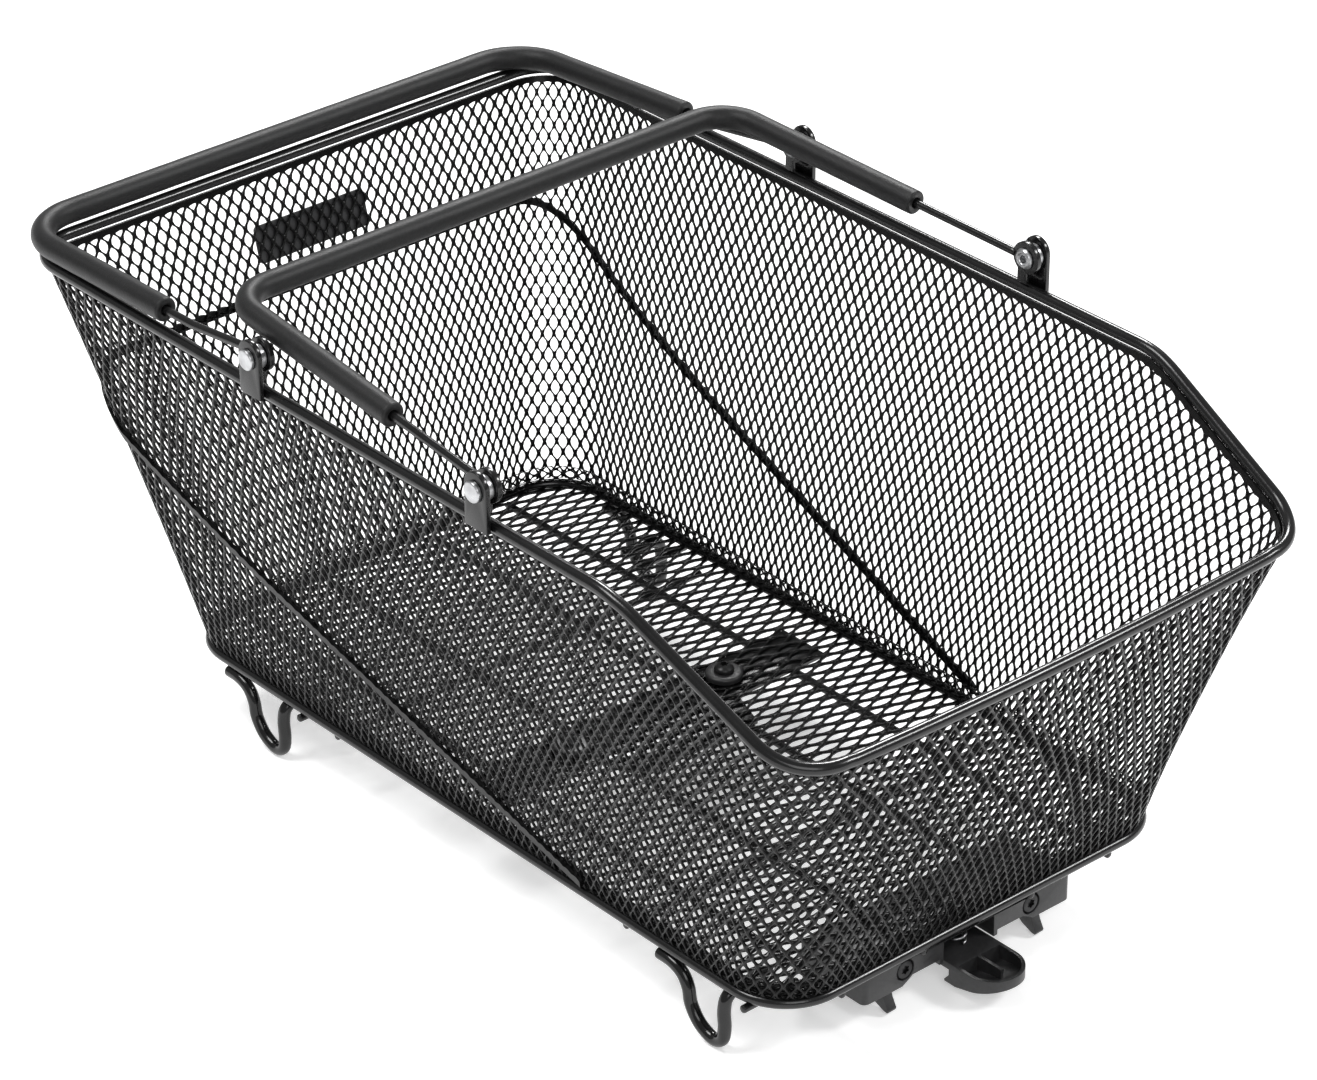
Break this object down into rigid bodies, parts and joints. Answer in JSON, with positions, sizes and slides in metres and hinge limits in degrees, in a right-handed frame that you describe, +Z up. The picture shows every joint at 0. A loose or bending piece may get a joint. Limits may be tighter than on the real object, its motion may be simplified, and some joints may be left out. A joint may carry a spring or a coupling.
{
  "type": "bicycle rear rack basket",
  "caption": "Flared expanded-metal basket for a bicycle rear rack, with folding bail handles, wire hooks under the floor and a quick-release adapter with a sprung lever.",
  "frame": {"origin": "on the ground under the middle of the overall length and width", "axes": "+X along the length towards the low end with the adapter, +Y to the left, +Z up"},
  "size_m": [0.5098, 0.3172, 0.2536],
  "materials": {
    "painted_rod": "satin black powder coat",
    "painted_mesh": "satin black powder coat on expanded metal",
    "coated_hook": "thick semi-gloss black dip coat",
    "grip_foam": "fine matte foam",
    "plastic": "fine-grained moulded black",
    "black_screw": "black oxide",
    "rivet": "bright zinc",
    "badge": "dark grey satin, blank"
  },
  "bodies": {
    "basket": {"top_rim": "painted_rod", "bottom_ring": "painted_rod", "wall_mesh_upper": "painted_mesh", "wall_mesh_lower": "painted_mesh", "seam_band": "painted_mesh", "badge_plate": "badge", "floor_mesh": "painted_mesh", "floor_rail_left_outer": "painted_rod", "floor_rail_left_inner": "painted_rod", "floor_rail_right_outer": "painted_rod", "floor_rail_right_inner": "painted_rod", "cross_wire_rear": "painted_rod", "cross_wire_front": "painted_rod", "support_plate": "painted_rod", "floor_washer_left": "plastic", "floor_washer_right": "plastic", "floor_screw_left": "black_screw", "floor_screw_right": "black_screw", "floor_nut_left": "black_screw", "floor_nut_right": "black_screw", "hook_rear_left": "coated_hook", "hook_rear_right": "coated_hook", "hook_front_left": "coated_hook", "hook_front_right": "coated_hook", "hook_stay_rear_left": "painted_rod", "hook_stay_rear_right": "painted_rod", "hook_stay_front_left": "painted_rod", "hook_stay_front_right": "painted_rod", "handle_bracket_rear_left": "painted_rod", "handle_bracket_rear_right": "painted_rod", "handle_bracket_front_left": "painted_rod", "handle_bracket_front_right": "painted_rod", "pivot_rivet_rear_left": "rivet", "pivot_rivet_rear_right": "rivet", "pivot_rivet_front_left": "rivet", "pivot_rivet_front_right": "rivet", "pivot_spacer_rear_left": "rivet", "pivot_spacer_rear_right": "rivet", "pivot_spacer_front_left": "rivet", "pivot_spacer_front_right": "rivet", "adapter_body": "plastic", "adapter_top_plate": "plastic", "adapter_screw_left": "black_screw", "adapter_screw_right": "black_screw", "lever_pin": "rivet", "lever_spring": "rivet"},
    "rear_handle": {"handle_rod_rear": "painted_rod", "grip_rear": "grip_foam"},
    "front_handle": {"handle_rod_front": "painted_rod", "grip_front": "grip_foam"},
    "lever": {"release_lever": "plastic"}
  },
  "joints": [
    {"name": "rear_handle_fold", "type": "hinge", "parent": "basket", "child": "rear_handle", "pos_m": [-0.073, 0, 0.239], "axis": [0, 1, 0], "range_deg": [0, 110]},
    {"name": "front_handle_fold", "type": "hinge", "parent": "basket", "child": "front_handle", "pos_m": [0.075, 0, 0.239], "axis": [0, 1, 0], "range_deg": [0, 110]},
    {"name": "lever_lift", "type": "hinge", "parent": "basket", "child": "lever", "pos_m": [0.184, 0, 0.0125], "axis": [0, -1, 0], "range_deg": [0, 12], "stiffness_Nm_per_rad": 0.25, "springref_deg": -8.59, "deforming": ["lever_spring"]}
  ]
}
